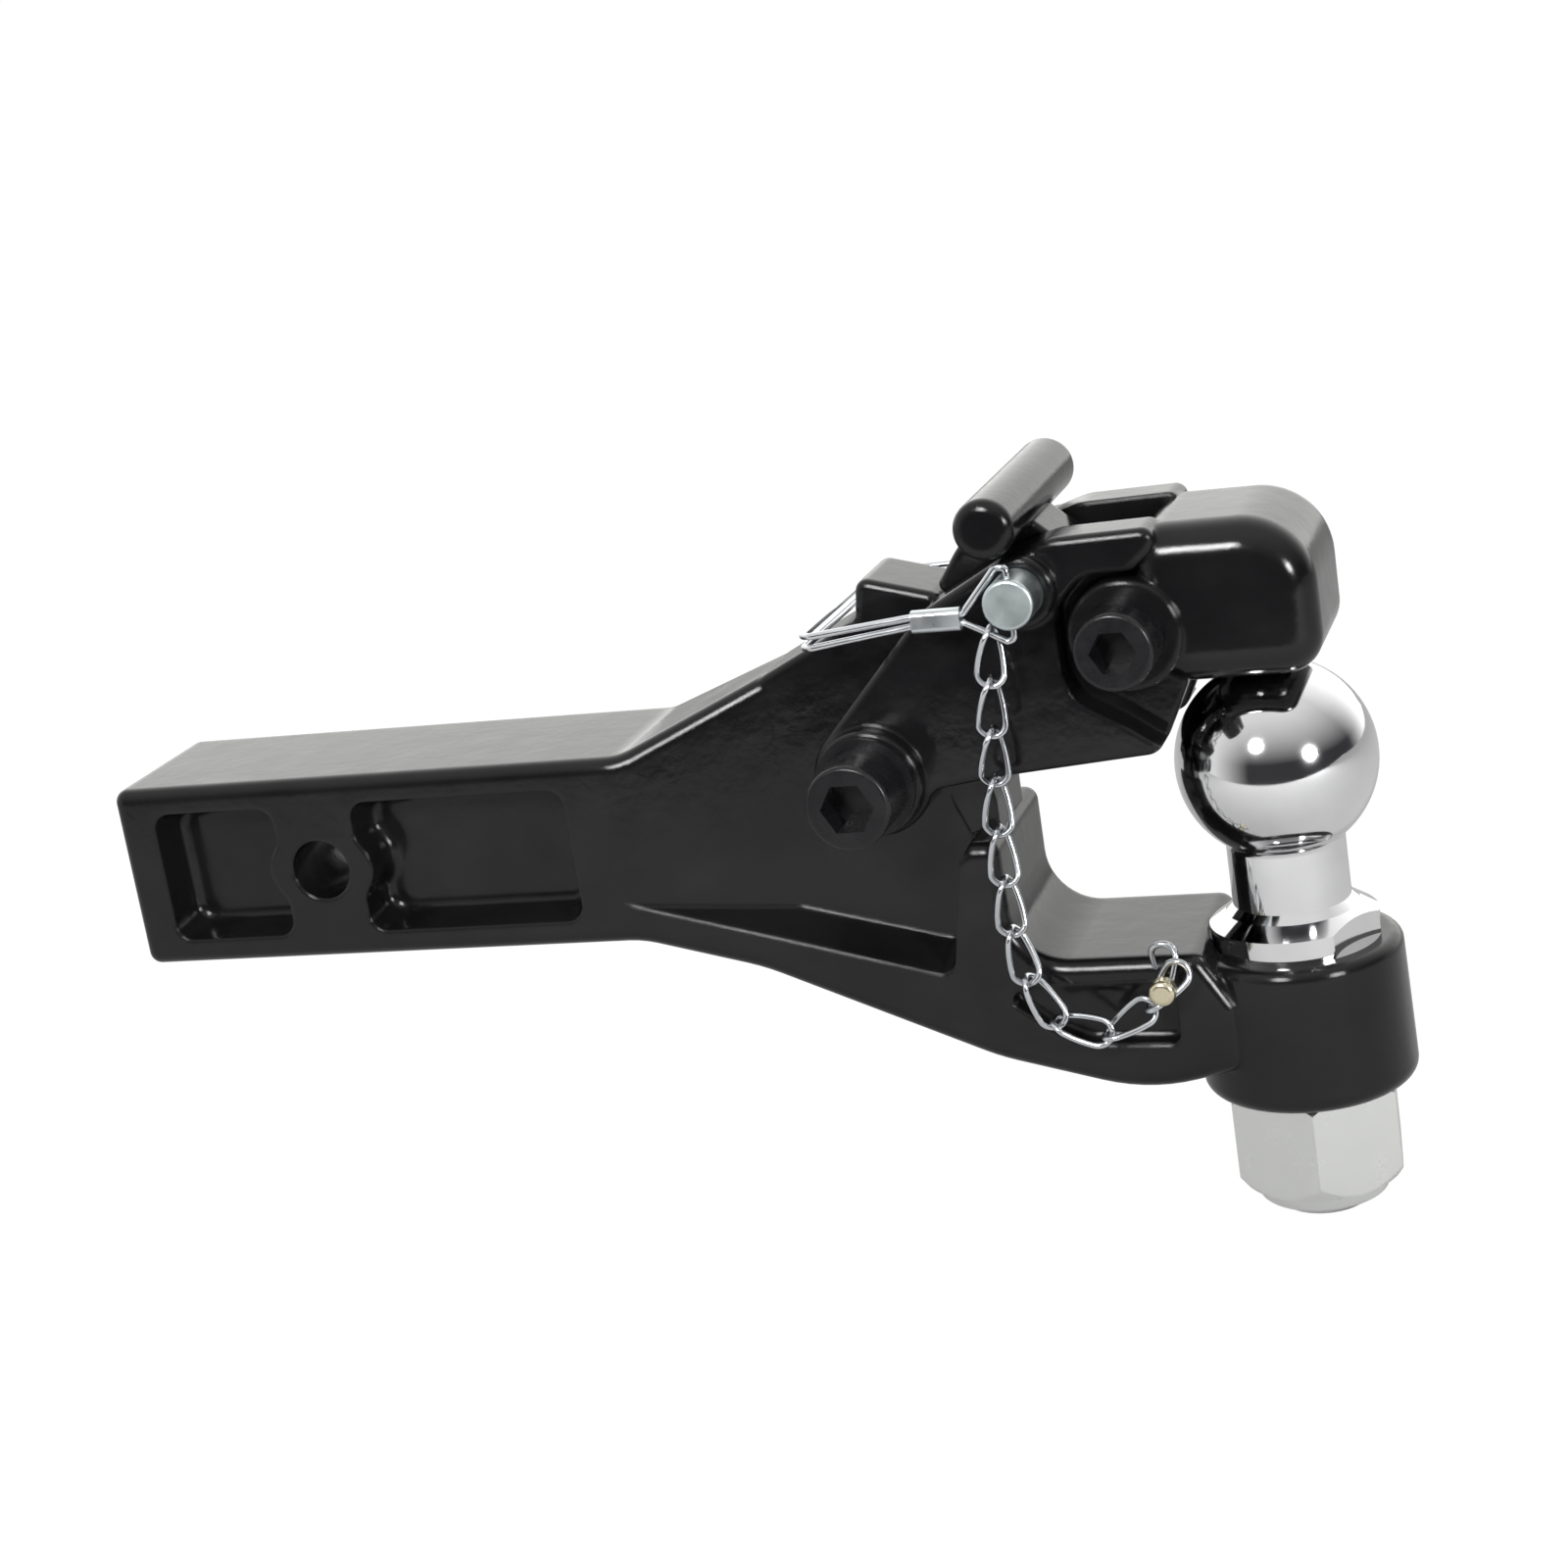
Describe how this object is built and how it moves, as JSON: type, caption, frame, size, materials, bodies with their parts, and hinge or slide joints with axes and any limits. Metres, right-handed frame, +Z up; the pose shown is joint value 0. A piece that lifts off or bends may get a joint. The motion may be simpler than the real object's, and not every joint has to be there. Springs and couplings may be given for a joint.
{
  "type": "combination pintle hook with tow ball",
  "caption": "Pintle hook with hinged upper jaw, latch lever and tow ball on a square receiver shank, locked by a safety pin with wire bail and chain.",
  "frame": {"origin": "centre of the hitch-pin bore in the square shank", "axes": "+X along the shank towards the ball, +Y towards the far side in the picture, +Z up along the ball's axis"},
  "size_m": [0.343, 0.0999, 0.1999],
  "materials": {
    "casting": "gloss black paint",
    "ball": "polished",
    "plated": "bright zinc",
    "black_steel": "black oxide",
    "spring": "oiled",
    "nylon": "matte",
    "yellow_zinc": "yellow zinc"
  },
  "bodies": {
    "hook": {"hook_body": "casting", "tow_ball": "ball", "ball_nut": "plated", "ball_nut_lock_ring": "nylon", "jaw_pivot_screw": "black_steel", "jaw_pivot_washer_near": "black_steel", "jaw_pivot_washer_far": "black_steel", "jaw_pivot_nut": "black_steel", "chain_anchor_screw": "yellow_zinc", "chain": "plated"},
    "jaw": {"upper_jaw": "casting", "latch_pivot_screw": "black_steel", "latch_pivot_washer": "black_steel", "latch_pivot_nut": "black_steel", "latch_spring": "spring"},
    "latch": {"latch_lever": "casting"},
    "pin": {"safety_pin": "plated"},
    "bail": {"wire_bail": "plated", "bail_ferrule": "plated"}
  },
  "joints": [
    {"name": "jaw_hinge", "type": "hinge", "parent": "hook", "child": "jaw", "pos_m": [0.1588, 0, 0.0159], "axis": [0, -1, 0], "range_deg": [0, 60], "deforming": ["chain"]},
    {"name": "latch_hinge", "type": "hinge", "parent": "jaw", "child": "latch", "pos_m": [0.2274, 0, 0.0478], "axis": [0, 1, 0], "range_deg": [0, 30]},
    {"name": "pin_turn", "type": "hinge", "parent": "jaw", "child": "pin", "pos_m": [0.2035, 0, 0.0615], "axis": [0, 1, 0], "range_deg": [0, 60]},
    {"name": "bail_hinge", "type": "hinge", "parent": "pin", "child": "bail", "pos_m": [0.2035, -0.0375, 0.0615], "axis": [0, 0, 1], "range_deg": [0, 90]}
  ],
  "couplings": [
    {"joint": "latch_hinge", "follows": "jaw_hinge", "ratio": 0.5},
    {"joint": "pin_turn", "follows": "jaw_hinge", "ratio": 1}
  ]
}
